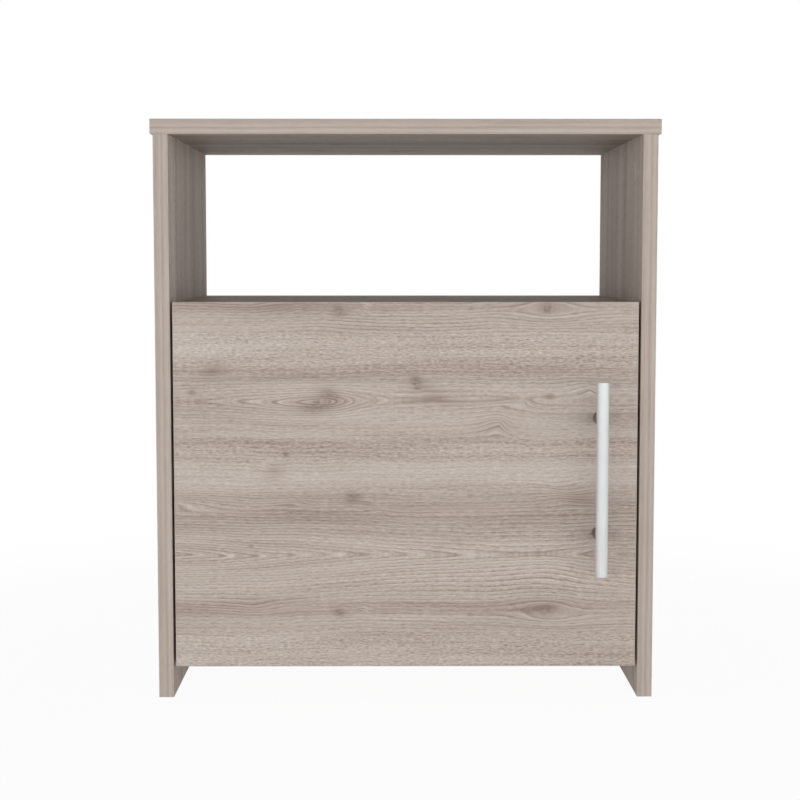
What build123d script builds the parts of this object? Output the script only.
# Small kitchen cabinet: an open niche over a cupboard with one inset door.
# Millimetres. X runs to the right, Y from front to back and Z up from the floor.
# The origin is under the middle of the whole cabinet, handle included.
import os
from math import hypot

from build123d import *

os.makedirs("parts", exist_ok=True)

# Carcass
height = 586.0
inner_width = 474.0  # between the side panels
depth = 342.0
board = 15.0  # melamine-faced chipboard
band = 0.5  # edge banding, part of each board's stated size
band_arris = 0.3  # scraped off the bands' outer edges
top_overhang = 3.0  # past each side panel
shelf_top = 403.0
door_lip = 1.0  # from the shelf's top to the top of the door
door_bottom = 32.0  # level with the underside of the bottom panel
door_gap = 2.5  # between the door and each side panel

# Back panel, held in grooves on four sides
back_thick = 3.0
back_inset = 10.0  # from the back edges to the groove
groove_depth = 6.0
groove_play = 0.2

# Bar handle
handle_dia = 12.5
handle_length = 195.0
handle_reach = 33.75  # from the door's face to the bar's axis
handle_edge = 39.5  # from the door's free edge to the bar's axis
handle_rise = 10.2  # above the middle of the door
handle_end_chamfer = 0.6
post_dia = 12.0
post_spacing = 117.0
spigot_dia = 5.0
spigot_length = 4.0
handle_screw_dia = 4.0
handle_screw_bite = 8.0
handle_screw_head = 8.0
handle_screw_head_height = 2.4
screw_hole_play = 0.3

# Cup hinges
hinge_inset = 80.0  # from the door's top and bottom edges
cup_dia = 35.0
cup_edge = 4.5  # from the door's edge to the cup
cup_depth = 11.9
cup_wall = 0.9
cup_floor = 0.8
flange_thick = 1.2
flange_rim = 1.4  # around the cup
ear_spacing = 48.0
ear_offset = 6.0  # from the cup's middle, towards the middle of the door
ear_radius = 5.5
pin_dia = 2.0
pin_inset = 9.3  # from the door's edge
pin_depth = 8.6  # from the door's back face
pin_play = 0.05
pin_chamfer = 0.2
lug_thick = 3.0
lug_top_depth = 5.8  # from the door's back face
lug_reach = 2.8  # past the pin
hook_width = 10.0
hook_thick = 3.9
hook_bend = 3.2
hook_play = 0.5
swing_play = 0.8

# Hinge plates and arm channels
plate_line = 52.0  # from the front plane to the plate's screws
plate_thick = 2.0
plate_radius = 7.0
plate_screw_spacing = 32.0
ridge_start = 45.0  # from the front plane
ridge_length = 31.0
ridge_height = 11.0
ridge_width = 11.4
ridge_corner = 1.5
channel_start = 38.0  # from the front plane
channel_length = 43.0
channel_wall = 1.6
channel_skirt = 4.0  # from the side panel to the channel's edges
channel_play = 0.2
clamp_line = 66.0
clamp_slot = 9.0
clamp_dia = 5.0
clamp_length = 8.0
clamp_head = 10.0
clamp_head_height = 2.5
adjuster_line = 51.0
adjuster_dia = 4.6
adjuster_length = 7.0

# Cam locks and dowels
cam_dia = 15.0
cam_depth = 12.4
cam_distance = 34.0  # from the joint to the cam's axis
cam_line_front = 60.0  # from the front plane
cam_line_back = 52.0  # from the back plane
bolt_thread = 5.0
bolt_bite = 10.5
bolt_shank = 6.0
bolt_neck = 4.0
bolt_head = 7.0
bolt_head_length = 5.0
bolt_neck_length = 3.5
bolt_channel = 8.0
dowel_dia = 8.0
dowel_length = 30.0
dowel_bite = 10.0
dowel_chamfer = 0.8
dowel_line = 45.0  # from each cam lock to the dowel beside it
bore_play = 0.5  # at the end of blind bores
cover_dia = 18.0
cover_thick = 0.4
cover_taper = 30.0  # degrees, at the rim
recess_width = 1.6  # cross recess for a driver
recess_depth = 2.5

# Magnetic catch and bumpers
catch_edge = 70.0  # from the right side panel to the catch's middle
catch_width = 26.0
catch_ears = 48.0
catch_ear_depth = 11.0
catch_ear_thick = 3.0
catch_body = 17.0
catch_height = 12.0
catch_screw_spacing = 37.0
pole_thick = 1.5
pole_width = 18.0
pole_depth = 13.0
pole_proud = 1.0
pole_chamfer = 0.5
magnet_thick = 4.5
magnet_margin = 1.5
strike_thick = 1.5
strike_width = 26.0
strike_height = 14.0
strike_screw_head = 5.6
strike_screw_dia = 3.0
strike_screw_length = 10.0
countersink_angle = 90.0
catch_play = 0.35
bumper_dia = 8.0
bumper_edge = 14.0

# Small wood screws
screw_dia = 3.5
screw_head = 6.6
screw_head_height = 1.6
screw_bite = 11.0
catch_screw_bite = 9.0

# Planes and lines that the pieces share
front = (handle_reach + handle_dia / 2 - depth) / 2
back = front + depth
inner = inner_width / 2
outer = inner + board
top_edge = outer + top_overhang
side_top = height - board
shelf_under = shelf_top - board
shelf_mid = shelf_top - board / 2
bottom_top = door_bottom + board
bottom_mid = door_bottom + board / 2
door_left = -inner + door_gap
door_right = inner - door_gap
door_back = front + board
door_top = shelf_top + door_lip
door_mid = (door_bottom + door_top) / 2

# The shelf and the bottom panel stand clear of the door's edge as it swings about the pin
pin_x = door_left + pin_inset
pin_y = door_back - pin_depth
shelf_front = pin_y + hypot(pin_inset, pin_depth) + swing_play

hinge_low = door_bottom + hinge_inset
hinge_spacing = door_top - door_bottom - 2 * hinge_inset
cup_x = door_left + cup_edge + cup_dia / 2
plate_y = front + plate_line
handle_x = door_right - handle_edge
handle_y = front - handle_reach
handle_mid = door_mid + handle_rise
post_heights = (handle_mid - post_spacing / 2, handle_mid + post_spacing / 2)
groove_width = back_thick + groove_play
groove_back = back - back_inset
groove_mid = groove_back - groove_width / 2
cam_lines = (front + cam_line_front, back - cam_line_back)
dowel_lines = (cam_lines[0] + dowel_line, cam_lines[1] - dowel_line)
catch_x = inner - catch_edge
catch_front = door_back + strike_thick + catch_play
pole_stack = magnet_thick + 2 * pole_thick
pole_mid = shelf_under - catch_ear_thick - pole_stack / 2
bumper_thick = shelf_front - door_back - catch_play

LEFT, RIGHT = (-1, 0, 0), (1, 0, 0)
UP, DOWN = (0, 0, 1), (0, 0, -1)
BACKWARD = (0, 1, 0)


def facing(direction, points):
    """Planes at these points, each with its normal in this direction."""
    return [Plane(origin=point, z_dir=direction) for point in points]


def scrape(bands, across, along):
    """Bevel the long edges of a pair of bands, on the outer face of each."""
    faces = bands.faces().sort_by(across)
    chamfer(ShapeList([faces[0], faces[-1]]).edges().filter_by(along), band_arris)


# Joint positions, each on the face that the bolt or dowel comes out of
top_bolts = [(side * (inner + board / 2), y, side_top) for side in (-1, 1) for y in cam_lines]
top_pegs = [(side * (inner + board / 2), y, side_top) for side in (-1, 1) for y in dowel_lines]
right_top_cams = [(inner, y, side_top - cam_distance) for y in cam_lines]
left_top_cams = [(-inner, y, side_top - cam_distance) for y in cam_lines]
shelf_cams = [(side * (inner - cam_distance), y, shelf_under) for side in (-1, 1) for y in cam_lines]
bottom_cams = [(side * (inner - cam_distance), y, door_bottom) for side in (-1, 1) for y in cam_lines]
hinge_heights = (hinge_low, hinge_low + hinge_spacing)
plate_screw_points = [
    (-inner, plate_y, z + side * plate_screw_spacing / 2) for z in hinge_heights for side in (-1, 1)
]
cup_screw_points = [
    (cup_x + ear_offset, door_back, z + side * ear_spacing / 2) for z in hinge_heights for side in (-1, 1)
]
handle_screw_points = [(handle_x, door_back, z) for z in post_heights]
catch_screw_points = [
    (catch_x + side * catch_screw_spacing / 2, catch_front + pole_proud + catch_body / 2, shelf_under)
    for side in (-1, 1)
]
strike_point = (catch_x, door_back, pole_mid)


# Top panel: the cam bolts and the dowels are bored in from its underside
with BuildPart() as top_panel:
    with BuildSketch(Plane.XY.offset(side_top)):
        with Locations((0, (front + band + back) / 2)):
            Rectangle(2 * (top_edge - band), depth - band)
    extrude(amount=board)
    with Locations(*facing(DOWN, top_bolts)):
        Hole(bolt_thread / 2, bolt_bite)
    with Locations(*facing(DOWN, top_pegs)):
        Hole(dowel_dia / 2, dowel_bite)
top_panel.part.label = "top_panel"
export_step(top_panel.part, "parts/top_panel.step")

with BuildPart() as top_front_band:
    with BuildSketch(Plane.XY.offset(side_top)):
        with Locations((0, front + band / 2)):
            Rectangle(2 * top_edge, band)
    extrude(amount=board)
    chamfer(top_front_band.faces().sort_by(Axis.Y)[0].edges(), band_arris)
top_front_band.part.label = "top_front_band"
export_step(top_front_band.part, "parts/top_front_band.step")

with BuildPart() as top_end_bands:
    with BuildSketch(Plane.XY.offset(side_top)):
        with Locations(*[(side * (top_edge - band / 2), (front + band + back) / 2) for side in (-1, 1)]):
            Rectangle(band, depth - band)
    extrude(amount=board)
    scrape(top_end_bands, Axis.X, Axis.Y)
top_end_bands.part.label = "top_end_bands"
export_step(top_end_bands.part, "parts/top_end_bands.step")

# Side panels: a stopped groove takes the back panel, out of sight from the niche
with BuildPart() as right_side:
    with BuildSketch(Plane.YZ.offset(inner)):
        with Locations(((front + band + back) / 2, side_top / 2)):
            Rectangle(depth - band, side_top)
    extrude(amount=board)
    with BuildSketch(Plane.YZ.offset(inner)):
        with Locations((groove_mid, (bottom_top + shelf_under) / 2)):
            Rectangle(groove_width, shelf_under - bottom_top + 2 * groove_depth)
    extrude(amount=groove_depth, mode=Mode.SUBTRACT)
    with Locations(*facing(LEFT, [(inner, y, z) for y in cam_lines for z in (shelf_mid, bottom_mid)])):
        Hole(bolt_thread / 2, bolt_bite)
    with Locations(*facing(LEFT, [(inner, y, z) for y in dowel_lines for z in (shelf_mid, bottom_mid)])):
        Hole(dowel_dia / 2, dowel_bite)
    with Locations(*facing(LEFT, right_top_cams)):
        Hole(cam_dia / 2, cam_depth)
    with Locations(*facing(UP, top_bolts[2:])):
        Hole(bolt_channel / 2, cam_distance)
    with Locations(*facing(UP, top_pegs[2:])):
        Hole(dowel_dia / 2, dowel_length - dowel_bite + bore_play)
right_side.part.label = "right_side"
export_step(right_side.part, "parts/right_side.step")

# The left side panel also carries the hinge plates
with BuildPart() as left_side:
    mirror(right_side.part, about=Plane.YZ)
    with Locations(*facing(RIGHT, plate_screw_points)):
        Hole(screw_dia / 2, screw_bite - plate_thick + bore_play)
left_side.part.label = "left_side"
export_step(left_side.part, "parts/left_side.step")

with BuildPart() as side_front_bands:
    with BuildSketch(Plane.XY):
        with Locations(*[(side * (inner + board / 2), front + band / 2) for side in (-1, 1)]):
            Rectangle(board, band)
    extrude(amount=side_top)
    chamfer(side_front_bands.faces().sort_by(Axis.Y)[:2].edges(), band_arris)
side_front_bands.part.label = "side_front_bands"
export_step(side_front_bands.part, "parts/side_front_bands.step")

# Shelf and bottom panel: cams from below, bolts and dowels in the ends, a groove for the back panel
with BuildPart() as shelf:
    with BuildSketch(Plane.XY.offset(shelf_under)):
        with Locations((0, (shelf_front + band + back) / 2)):
            Rectangle(inner_width, back - shelf_front - band)
    extrude(amount=board)
    with BuildSketch(Plane.XY.offset(shelf_under)):
        with Locations((0, groove_mid)):
            Rectangle(inner_width, groove_width)
    extrude(amount=groove_depth, mode=Mode.SUBTRACT)
    with Locations(*facing(DOWN, shelf_cams)):
        Hole(cam_dia / 2, cam_depth)
    for side, direction in ((-1, LEFT), (1, RIGHT)):
        with Locations(*facing(direction, [(side * inner, y, shelf_mid) for y in cam_lines])):
            Hole(bolt_channel / 2, cam_distance)
        with Locations(*facing(direction, [(side * inner, y, shelf_mid) for y in dowel_lines])):
            Hole(dowel_dia / 2, dowel_length - dowel_bite + bore_play)
    with Locations(*facing(DOWN, catch_screw_points)):
        Hole(screw_dia / 2, catch_screw_bite - catch_ear_thick + bore_play)
shelf.part.label = "shelf"
export_step(shelf.part, "parts/shelf.step")

with BuildPart() as bottom_panel:
    with BuildSketch(Plane.XY.offset(door_bottom)):
        with Locations((0, (shelf_front + band + back) / 2)):
            Rectangle(inner_width, back - shelf_front - band)
    extrude(amount=board)
    with BuildSketch(Plane.XY.offset(bottom_top)):
        with Locations((0, groove_mid)):
            Rectangle(inner_width, groove_width)
    extrude(amount=-groove_depth, mode=Mode.SUBTRACT)
    with Locations(*facing(DOWN, bottom_cams)):
        Hole(cam_dia / 2, cam_depth)
    for side, direction in ((-1, LEFT), (1, RIGHT)):
        with Locations(*facing(direction, [(side * inner, y, bottom_mid) for y in cam_lines])):
            Hole(bolt_channel / 2, cam_distance)
        with Locations(*facing(direction, [(side * inner, y, bottom_mid) for y in dowel_lines])):
            Hole(dowel_dia / 2, dowel_length - dowel_bite + bore_play)
bottom_panel.part.label = "bottom_panel"
export_step(bottom_panel.part, "parts/bottom_panel.step")

with BuildPart() as shelf_front_bands:
    with BuildSketch(Plane.XZ.offset(-shelf_front)):
        with Locations((0, shelf_mid), (0, bottom_mid)):
            Rectangle(inner_width, board)
    extrude(amount=-band)
    chamfer(shelf_front_bands.faces().sort_by(Axis.Y)[:2].edges().filter_by(Axis.X), band_arris)
shelf_front_bands.part.label = "shelf_front_bands"
export_step(shelf_front_bands.part, "parts/shelf_front_bands.step")

# Back panel: stands on the floor of the bottom groove and bears on the grooves' rear faces
with BuildPart() as back_panel:
    with BuildSketch(Plane.XY.offset(bottom_top - groove_depth)):
        with Locations((0, groove_back - back_thick / 2)):
            Rectangle(inner_width + 2 * (groove_depth - groove_play), back_thick)
    extrude(amount=shelf_under - bottom_top + 2 * groove_depth - groove_play)
back_panel.part.label = "back_panel"
export_step(back_panel.part, "parts/back_panel.step")


# Cam lock along -Z from the board's face, with its bolt tunnel along +X
with BuildPart() as cam_lock:
    with BuildSketch(Plane.XY):
        Circle(cam_dia / 2)
    extrude(amount=-cam_depth)
    with BuildSketch(Plane.YZ):
        with Locations((0, -board / 2)):
            Circle(bolt_channel / 2)
    extrude(amount=cam_dia, mode=Mode.SUBTRACT)
    with BuildSketch(Plane.XY):
        Rectangle(cam_dia / 2, recess_width)
        Rectangle(recess_width, cam_dia / 2)
    extrude(amount=-recess_depth, mode=Mode.SUBTRACT)
    with Locations((0, 0, -board / 2)):
        Sphere(bolt_channel / 2, mode=Mode.SUBTRACT)

# Cam bolt along +Z: the thread is below the joint's plane and the head sits on the cam's axis
with BuildPart() as cam_bolt:
    with BuildSketch(Plane.XZ):
        with BuildLine():
            head_start = cam_distance - bolt_head_length / 2
            neck_start = head_start - bolt_neck_length
            Polyline(
                (0, -bolt_bite),
                (bolt_thread / 4, -bolt_bite),
                (bolt_thread / 2, bolt_thread / 4 - bolt_bite),
                (bolt_thread / 2, 0),
                (bolt_shank / 2, 0),
                (bolt_shank / 2, neck_start),
                (bolt_neck / 2, neck_start),
                (bolt_neck / 2, head_start),
                (bolt_head / 2, head_start + bolt_head_length / 4),
                (bolt_head / 2, head_start + bolt_head_length * 3 / 4),
                (bolt_neck / 2, head_start + bolt_head_length),
                (0, head_start + bolt_head_length),
                close=True,
            )
        make_face()
    revolve(axis=Axis.Z)

# Wooden dowel along +Z, with its shorter end below the joint's plane
with BuildPart() as dowel:
    with BuildSketch(Plane.XY.offset(-dowel_bite)):
        Circle(dowel_dia / 2)
    extrude(amount=dowel_length)
    chamfer(dowel.edges().filter_by(GeomType.CIRCLE), dowel_chamfer)

right_cam_planes = [Plane(origin=point, x_dir=UP, z_dir=LEFT) for point in right_top_cams]
left_cam_planes = [Plane(origin=point, x_dir=UP, z_dir=RIGHT) for point in left_top_cams]


def end_planes(points):
    """Planes on the underside of a board, each turned towards its nearer end."""
    return [Plane(origin=point, x_dir=LEFT if point[0] < 0 else RIGHT, z_dir=DOWN) for point in points]


def inward(lines, level):
    """Planes on the side panels' inner faces at these depths and this height."""
    left = facing(RIGHT, [(-inner, y, level) for y in lines])
    right = facing(LEFT, [(inner, y, level) for y in lines])
    return left + right


with BuildPart() as top_cam_locks:
    with Locations(*left_cam_planes, *right_cam_planes):
        add(cam_lock.part)
top_cam_locks.part.label = "top_cam_locks"
export_step(top_cam_locks.part, "parts/top_cam_locks.step")

with BuildPart() as top_cam_bolts:
    with Locations(*facing(DOWN, top_bolts)):
        add(cam_bolt.part)
top_cam_bolts.part.label = "top_cam_bolts"
export_step(top_cam_bolts.part, "parts/top_cam_bolts.step")

with BuildPart() as top_dowels:
    with Locations(*facing(DOWN, top_pegs)):
        add(dowel.part)
top_dowels.part.label = "top_dowels"
export_step(top_dowels.part, "parts/top_dowels.step")

with BuildPart() as shelf_cam_locks:
    with Locations(*end_planes(shelf_cams)):
        add(cam_lock.part)
shelf_cam_locks.part.label = "shelf_cam_locks"
export_step(shelf_cam_locks.part, "parts/shelf_cam_locks.step")

with BuildPart() as shelf_cam_bolts:
    with Locations(*inward(cam_lines, shelf_mid)):
        add(cam_bolt.part)
shelf_cam_bolts.part.label = "shelf_cam_bolts"
export_step(shelf_cam_bolts.part, "parts/shelf_cam_bolts.step")

with BuildPart() as shelf_dowels:
    with Locations(*inward(dowel_lines, shelf_mid)):
        add(dowel.part)
shelf_dowels.part.label = "shelf_dowels"
export_step(shelf_dowels.part, "parts/shelf_dowels.step")

with BuildPart() as bottom_cam_locks:
    with Locations(*end_planes(bottom_cams)):
        add(cam_lock.part)
bottom_cam_locks.part.label = "bottom_cam_locks"
export_step(bottom_cam_locks.part, "parts/bottom_cam_locks.step")

with BuildPart() as bottom_cam_bolts:
    with Locations(*inward(cam_lines, bottom_mid)):
        add(cam_bolt.part)
bottom_cam_bolts.part.label = "bottom_cam_bolts"
export_step(bottom_cam_bolts.part, "parts/bottom_cam_bolts.step")

with BuildPart() as bottom_dowels:
    with Locations(*inward(dowel_lines, bottom_mid)):
        add(dowel.part)
bottom_dowels.part.label = "bottom_dowels"
export_step(bottom_dowels.part, "parts/bottom_dowels.step")

# Covers over the cam locks that open into the niche
with BuildPart() as cam_covers:
    for plane in left_cam_planes + right_cam_planes:
        with BuildSketch(plane):
            Circle(cover_dia / 2)
        extrude(amount=cover_thick, taper=cover_taper)
cam_covers.part.label = "cam_covers"
export_step(cam_covers.part, "parts/cam_covers.step")


def pan_screw(shank_dia, shank_length, head_dia, head_height):
    """Pan-head screw: the head stands on Z = 0 and the shank runs down from there."""
    with BuildPart() as screw:
        with BuildSketch(Plane.XZ):
            with BuildLine():
                Polyline(
                    (0, head_height),
                    (head_dia / 4, head_height),
                    (head_dia / 2, head_height / 2),
                    (head_dia / 2, 0),
                    (shank_dia / 2, 0),
                    (shank_dia / 2, shank_dia / 2 - shank_length),
                    (shank_dia / 6, -shank_length),
                    (0, -shank_length),
                    close=True,
                )
            make_face()
        revolve(axis=Axis.Z)
        with BuildSketch(Plane.XY.offset(head_height)):
            Rectangle(head_dia / 2, recess_width / 2)
            Rectangle(recess_width / 2, head_dia / 2)
        extrude(amount=-head_height / 2, mode=Mode.SUBTRACT)
    return screw.part


# Door: hinge cups and screws are bored from its back face, the handle screws go right through
with BuildPart() as door_panel:
    with BuildSketch(Plane.XZ.offset(-front)):
        with Locations(((door_left + door_right) / 2, door_mid)):
            Rectangle(door_right - door_left - 2 * band, door_top - door_bottom - 2 * band)
    extrude(amount=-board)
    with Locations(*facing(BACKWARD, [(cup_x, door_back, z) for z in hinge_heights])):
        Hole(cup_dia / 2, cup_depth)
    with Locations(*facing(BACKWARD, cup_screw_points)):
        Hole(screw_dia / 2, screw_bite - flange_thick + bore_play)
    with Locations(*facing(BACKWARD, handle_screw_points)):
        Hole(handle_screw_dia / 2 + screw_hole_play, board)
    with Locations(*facing(BACKWARD, [strike_point])):
        Hole(strike_screw_dia / 2, strike_screw_length - strike_thick + bore_play)
door_panel.part.label = "door_panel"
export_step(door_panel.part, "parts/door_panel.step")

with BuildPart() as door_rail_bands:
    with BuildSketch(Plane.XZ.offset(-front)):
        with Locations((0, door_top - band / 2), (0, door_bottom + band / 2)):
            Rectangle(door_right - door_left, band)
    extrude(amount=-board)
    scrape(door_rail_bands, Axis.Z, Axis.X)
door_rail_bands.part.label = "door_rail_bands"
export_step(door_rail_bands.part, "parts/door_rail_bands.step")

with BuildPart() as door_stile_bands:
    with BuildSketch(Plane.XZ.offset(-front)):
        with Locations((door_left + band / 2, door_mid), (door_right - band / 2, door_mid)):
            Rectangle(band, door_top - door_bottom - 2 * band)
    extrude(amount=-board)
    scrape(door_stile_bands, Axis.X, Axis.Z)
door_stile_bands.part.label = "door_stile_bands"
export_step(door_stile_bands.part, "parts/door_stile_bands.step")

# Handle: the posts are coped to the bar, and a spigot on each goes into it
with BuildPart() as handle_bar:
    with BuildSketch(Plane.XY.offset(handle_mid - handle_length / 2)):
        with Locations((handle_x, handle_y)):
            Circle(handle_dia / 2)
    extrude(amount=handle_length)
    chamfer(handle_bar.edges().filter_by(GeomType.CIRCLE), handle_end_chamfer)
    with Locations(*facing(BACKWARD, [(handle_x, handle_y + handle_dia / 2, z) for z in post_heights])):
        Hole(spigot_dia / 2, spigot_length)
handle_bar.part.label = "handle_bar"
export_step(handle_bar.part, "parts/handle_bar.step")

with BuildPart() as handle_posts:
    with BuildSketch(Plane.XZ.offset(-front)):
        with Locations(*[(handle_x, z) for z in post_heights]):
            Circle(post_dia / 2)
    extrude(amount=handle_reach)
    with Locations((handle_x, handle_y, handle_mid)):
        Cylinder(handle_dia / 2, handle_length, mode=Mode.SUBTRACT)
    with BuildSketch(Plane.XZ.offset(-front + handle_screw_bite + bore_play)):
        with Locations(*[(handle_x, z) for z in post_heights]):
            Circle(spigot_dia / 2)
    extrude(amount=handle_reach - handle_dia / 2 + spigot_length - handle_screw_bite - bore_play)
    with Locations(*facing(BACKWARD, [(handle_x, front, z) for z in post_heights])):
        Hole(handle_screw_dia / 2, handle_screw_bite + bore_play)
handle_posts.part.label = "handle_posts"
export_step(handle_posts.part, "parts/handle_posts.step")

handle_screw_length = board + handle_screw_bite
handle_screw = pan_screw(
    handle_screw_dia, handle_screw_length, handle_screw_head, handle_screw_head_height
)
with BuildPart() as handle_screws:
    with Locations(*facing(BACKWARD, handle_screw_points)):
        add(handle_screw)
handle_screws.part.label = "handle_screws"
export_step(handle_screws.part, "parts/handle_screws.step")

# Hinge cup: a pressed cup with a flange; two lugs on its floor carry the pin
cup_face = Plane(origin=(cup_x, door_back, hinge_low), x_dir=RIGHT, z_dir=BACKWARD)
lug_mid = hook_width / 2 + hook_play + lug_thick / 2
lug_end = pin_x + lug_reach - cup_x
lug_length = cup_dia / 2 + lug_end
with BuildPart() as lower_hinge_cup:
    with BuildSketch(cup_face):
        Circle(cup_dia / 2)
    extrude(amount=-cup_depth)
    with BuildSketch(cup_face):
        Circle(cup_dia / 2 + flange_rim)
        with Locations((ear_offset, ear_spacing / 2), (ear_offset, -ear_spacing / 2)):
            Circle(ear_radius)
        make_hull()
    extrude(amount=flange_thick)
    with BuildSketch(cup_face.offset(flange_thick)):
        Circle(cup_dia / 2 - cup_wall)
    extrude(amount=-flange_thick - lug_top_depth, mode=Mode.SUBTRACT)
    with BuildSketch(cup_face.offset(-lug_top_depth)):
        Circle(cup_dia / 2 - cup_wall)
        with Locations((lug_end - lug_length / 2, lug_mid), (lug_end - lug_length / 2, -lug_mid)):
            Rectangle(lug_length, lug_thick, mode=Mode.SUBTRACT)
    extrude(amount=lug_top_depth + cup_floor - cup_depth, mode=Mode.SUBTRACT)
    with Locations((pin_x, pin_y, hinge_low)):
        Cylinder(pin_dia / 2, 2 * lug_mid + lug_thick, mode=Mode.SUBTRACT)
    with Locations(*facing(BACKWARD, [(x, y + flange_thick, z) for x, y, z in cup_screw_points[:2]])):
        Hole(screw_dia / 2 + screw_hole_play, flange_thick)
lower_hinge_cup.part.label = "lower_hinge_cup"
export_step(lower_hinge_cup.part, "parts/lower_hinge_cup.step")

with BuildPart() as upper_hinge_cup:
    with Locations((0, 0, hinge_spacing)):
        add(lower_hinge_cup.part)
upper_hinge_cup.part.label = "upper_hinge_cup"
export_step(upper_hinge_cup.part, "parts/upper_hinge_cup.step")

with BuildPart() as hinge_pins:
    with Locations(*[(pin_x, pin_y, z) for z in hinge_heights]):
        Cylinder(pin_dia / 2, 2 * lug_mid + lug_thick)
    chamfer(hinge_pins.edges().filter_by(GeomType.CIRCLE), pin_chamfer)
hinge_pins.part.label = "hinge_pins"
export_step(hinge_pins.part, "parts/hinge_pins.step")

wood_screw = pan_screw(screw_dia, screw_bite, screw_head, screw_head_height)
with BuildPart() as hinge_cup_screws:
    with Locations(*facing(BACKWARD, [(x, y + flange_thick, z) for x, y, z in cup_screw_points])):
        add(wood_screw)
hinge_cup_screws.part.label = "hinge_cup_screws"
export_step(hinge_cup_screws.part, "parts/hinge_cup_screws.step")

# Hinge arm: the hook turns down into the cup past the door's swinging edge, and the channel rides on
# the plate's ridge
hook_x = pin_x + hypot(pin_inset, pin_depth) + hook_thick / 2
hook_y = shelf_front + hook_thick / 2
arm_x = -inner + ridge_height + channel_wall - hook_thick / 2
roof_x = -inner + ridge_height + channel_wall
channel_width = ridge_width + 2 * (channel_play + channel_wall)
with BuildPart() as lower_hinge_arm:
    with BuildSketch(Plane.XY.offset(hinge_low - hook_width / 2)):
        with BuildLine():
            FilletPolyline(
                (pin_x, pin_y),
                (hook_x, pin_y),
                (hook_x, hook_y),
                (arm_x, front + (channel_start + shelf_front - front) / 2),
                (arm_x, front + channel_start + hook_thick),
                radius=hook_bend,
            )
            offset(amount=hook_thick / 2, side=Side.BOTH)
        make_face()
    extrude(amount=hook_width)
    with BuildSketch(Plane.XZ.offset(-front - channel_start)):
        with Locations(((roof_x - inner + channel_skirt) / 2, hinge_low)):
            Rectangle(roof_x + inner - channel_skirt, channel_width)
        with Locations(((roof_x - channel_wall - inner + channel_skirt) / 2, hinge_low)):
            Rectangle(
                roof_x - channel_wall + inner - channel_skirt,
                ridge_width + 2 * channel_play,
                mode=Mode.SUBTRACT,
            )
    extrude(amount=-channel_length)
    with Locations((pin_x, pin_y, hinge_low)):
        Cylinder(pin_dia / 2 + pin_play, hook_width, mode=Mode.SUBTRACT)
    with BuildSketch(Plane.YZ.offset(roof_x)):
        with Locations((front + clamp_line, hinge_low)):
            SlotOverall(clamp_slot, clamp_dia + 2 * screw_hole_play)
        with Locations((front + adjuster_line, hinge_low)):
            Circle(adjuster_dia / 2)
    extrude(amount=-channel_wall, mode=Mode.SUBTRACT)
lower_hinge_arm.part.label = "lower_hinge_arm"
export_step(lower_hinge_arm.part, "parts/lower_hinge_arm.step")

with BuildPart() as upper_hinge_arm:
    with Locations((0, 0, hinge_spacing)):
        add(lower_hinge_arm.part)
upper_hinge_arm.part.label = "upper_hinge_arm"
export_step(upper_hinge_arm.part, "parts/upper_hinge_arm.step")

with BuildPart() as lower_hinge_plate:
    with BuildSketch(Plane.YZ.offset(-inner)):
        with Locations((plate_y, hinge_low)):
            SlotOverall(plate_screw_spacing + 2 * plate_radius, 2 * plate_radius, rotation=90)
        with Locations((front + ridge_start + ridge_length / 2, hinge_low)):
            Rectangle(ridge_length, ridge_width)
    extrude(amount=plate_thick)
    with BuildSketch(Plane.YZ.offset(-inner + plate_thick)):
        with Locations((front + ridge_start + ridge_length / 2, hinge_low)):
            RectangleRounded(ridge_length, ridge_width, ridge_corner)
    extrude(amount=ridge_height - plate_thick)
    with Locations(*facing(RIGHT, [(x + plate_thick, y, z) for x, y, z in plate_screw_points[:2]])):
        Hole(screw_dia / 2 + screw_hole_play, plate_thick)
    with Locations(*facing(RIGHT, [(-inner + ridge_height, front + clamp_line, hinge_low)])):
        Hole(clamp_dia / 2, clamp_length)
    with Locations(*facing(RIGHT, [(-inner + ridge_height, front + adjuster_line, hinge_low)])):
        Hole(adjuster_dia / 2, adjuster_length - channel_wall)
lower_hinge_plate.part.label = "lower_hinge_plate"
export_step(lower_hinge_plate.part, "parts/lower_hinge_plate.step")

with BuildPart() as upper_hinge_plate:
    with Locations((0, 0, hinge_spacing)):
        add(lower_hinge_plate.part)
upper_hinge_plate.part.label = "upper_hinge_plate"
export_step(upper_hinge_plate.part, "parts/upper_hinge_plate.step")

with BuildPart() as hinge_plate_screws:
    with Locations(*facing(RIGHT, [(x + plate_thick, y, z) for x, y, z in plate_screw_points])):
        add(wood_screw)
hinge_plate_screws.part.label = "hinge_plate_screws"
export_step(hinge_plate_screws.part, "parts/hinge_plate_screws.step")

clamp_screw = pan_screw(clamp_dia, clamp_length, clamp_head, clamp_head_height)
with BuildPart() as arm_clamp_screws:
    with Locations(*facing(RIGHT, [(roof_x, front + clamp_line, z) for z in hinge_heights])):
        add(clamp_screw)
arm_clamp_screws.part.label = "arm_clamp_screws"
export_step(arm_clamp_screws.part, "parts/arm_clamp_screws.step")

# Grub screw flush with the channel's roof, with a slot for the driver
with BuildPart() as grub_screw:
    with BuildSketch(Plane.XY):
        Circle(adjuster_dia / 2)
    extrude(amount=-adjuster_length)
    with BuildSketch(Plane.XY):
        Rectangle(adjuster_dia, recess_width / 2)
    extrude(amount=-recess_depth / 2, mode=Mode.SUBTRACT)

with BuildPart() as arm_adjusters:
    with Locations(*facing(RIGHT, [(roof_x, front + adjuster_line, z) for z in hinge_heights])):
        add(grub_screw.part)
arm_adjusters.part.label = "arm_adjusters"
export_step(arm_adjusters.part, "parts/arm_adjusters.step")

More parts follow.
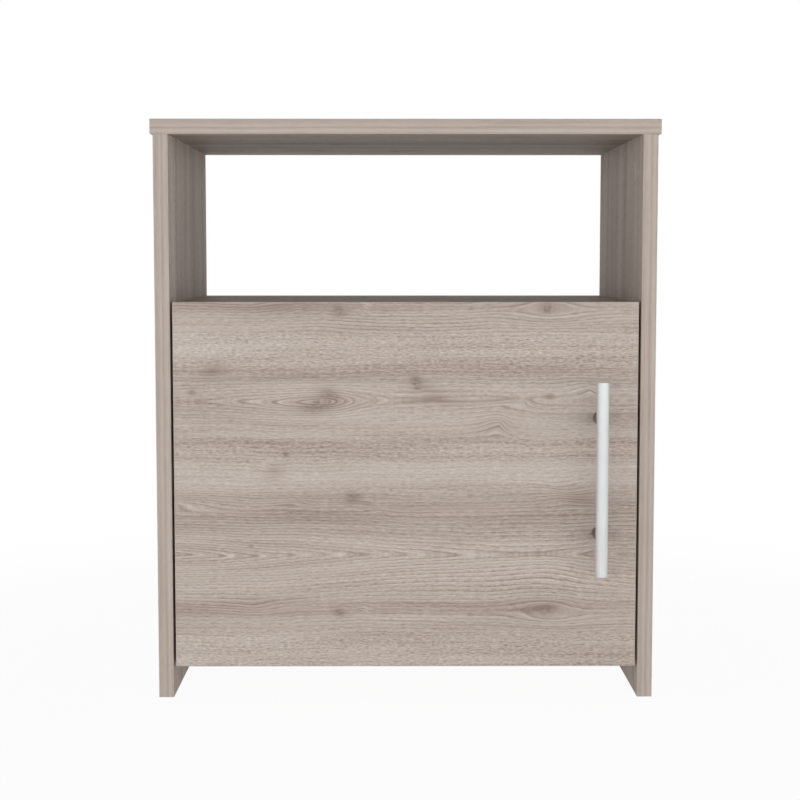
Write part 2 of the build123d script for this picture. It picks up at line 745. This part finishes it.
# Magnetic catch under the shelf: two pole plates hold the magnet between them in the housing
housing_y = catch_front + pole_proud + catch_body / 2
pole_y = catch_front + pole_depth / 2
with BuildPart() as catch_housing:
    with BuildSketch(Plane.XY.offset(shelf_under)):
        with Locations((catch_x, housing_y)):
            RectangleRounded(catch_ears, catch_ear_depth, catch_ear_depth / 3)
    extrude(amount=-catch_ear_thick)
    with BuildSketch(Plane.XY.offset(shelf_under)):
        with Locations((catch_x, housing_y)):
            RectangleRounded(catch_width, catch_body, recess_width)
    extrude(amount=-catch_height)
    with BuildSketch(Plane.XZ.offset(-catch_front - pole_depth)):
        with Locations((catch_x, pole_mid)):
            Rectangle(pole_width, pole_stack)
    extrude(amount=pole_depth, mode=Mode.SUBTRACT)
    with Locations(*facing(DOWN, [(x, y, z - catch_ear_thick) for x, y, z in catch_screw_points])):
        Hole(screw_dia / 2 + screw_hole_play, catch_ear_thick)
catch_housing.part.label = "catch_housing"
export_step(catch_housing.part, "parts/catch_housing.step")

with BuildPart() as catch_magnet:
    with BuildSketch(Plane.XY.offset(pole_mid - magnet_thick / 2)):
        with Locations((catch_x, pole_y + magnet_margin / 2)):
            RectangleRounded(pole_width - 2 * magnet_margin, pole_depth - magnet_margin, magnet_margin)
    extrude(amount=magnet_thick)
catch_magnet.part.label = "catch_magnet"
export_step(catch_magnet.part, "parts/catch_magnet.step")

with BuildPart() as catch_poles:
    for level in (pole_mid - pole_stack / 2, pole_mid + magnet_thick / 2):
        with BuildSketch(Plane.XY.offset(level)):
            with Locations((catch_x, pole_y)):
                Rectangle(pole_width, pole_depth)
        extrude(amount=pole_thick)
    chamfer(catch_poles.edges().filter_by(Axis.Z).group_by(Axis.Y)[0], pole_chamfer)
catch_poles.part.label = "catch_poles"
export_step(catch_poles.part, "parts/catch_poles.step")

catch_screw = pan_screw(screw_dia, catch_screw_bite, screw_head, screw_head_height)
with BuildPart() as catch_screws:
    with Locations(*facing(DOWN, [(x, y, z - catch_ear_thick) for x, y, z in catch_screw_points])):
        add(catch_screw)
catch_screws.part.label = "catch_screws"
export_step(catch_screws.part, "parts/catch_screws.step")

strike_face = (catch_x, door_back + strike_thick, pole_mid)
with BuildPart() as catch_strike:
    with BuildSketch(Plane(origin=strike_point, x_dir=RIGHT, z_dir=BACKWARD)):
        RectangleRounded(strike_width, strike_height, strike_height / 4)
    extrude(amount=strike_thick)
    with Locations(*facing(BACKWARD, [strike_face])):
        CounterSinkHole(strike_screw_dia / 2, strike_screw_head / 2, strike_thick, countersink_angle)
catch_strike.part.label = "catch_strike"
export_step(catch_strike.part, "parts/catch_strike.step")

# Countersunk screw, flush with the strike plate
with BuildPart() as strike_screw:
    with BuildSketch(Plane(origin=strike_face, x_dir=RIGHT, z_dir=UP)):
        with BuildLine():
            Polyline(
                (0, 0),
                (strike_screw_head / 2, 0),
                (strike_screw_dia / 2, (strike_screw_dia - strike_screw_head) / 2),
                (strike_screw_dia / 2, strike_screw_dia / 2 - strike_screw_length),
                (0, -strike_screw_length),
                close=True,
            )
        make_face()
    revolve(axis=Axis(strike_face, BACKWARD))
strike_screw.part.label = "strike_screw"
export_step(strike_screw.part, "parts/strike_screw.step")

# Soft bumpers meet the front edges of the shelf and of the bottom panel
with BuildPart() as door_bumpers:
    with BuildSketch(Plane(origin=(0, door_back, 0), x_dir=RIGHT, z_dir=BACKWARD)):
        with Locations((door_right - bumper_edge, -shelf_mid), (door_right - bumper_edge, -bottom_mid)):
            Circle(bumper_dia / 2)
    extrude(amount=bumper_thick)
    fillet(door_bumpers.faces().sort_by(Axis.Y)[-2:].edges(), bumper_dia / 4)
door_bumpers.part.label = "door_bumpers"
export_step(door_bumpers.part, "parts/door_bumpers.step")
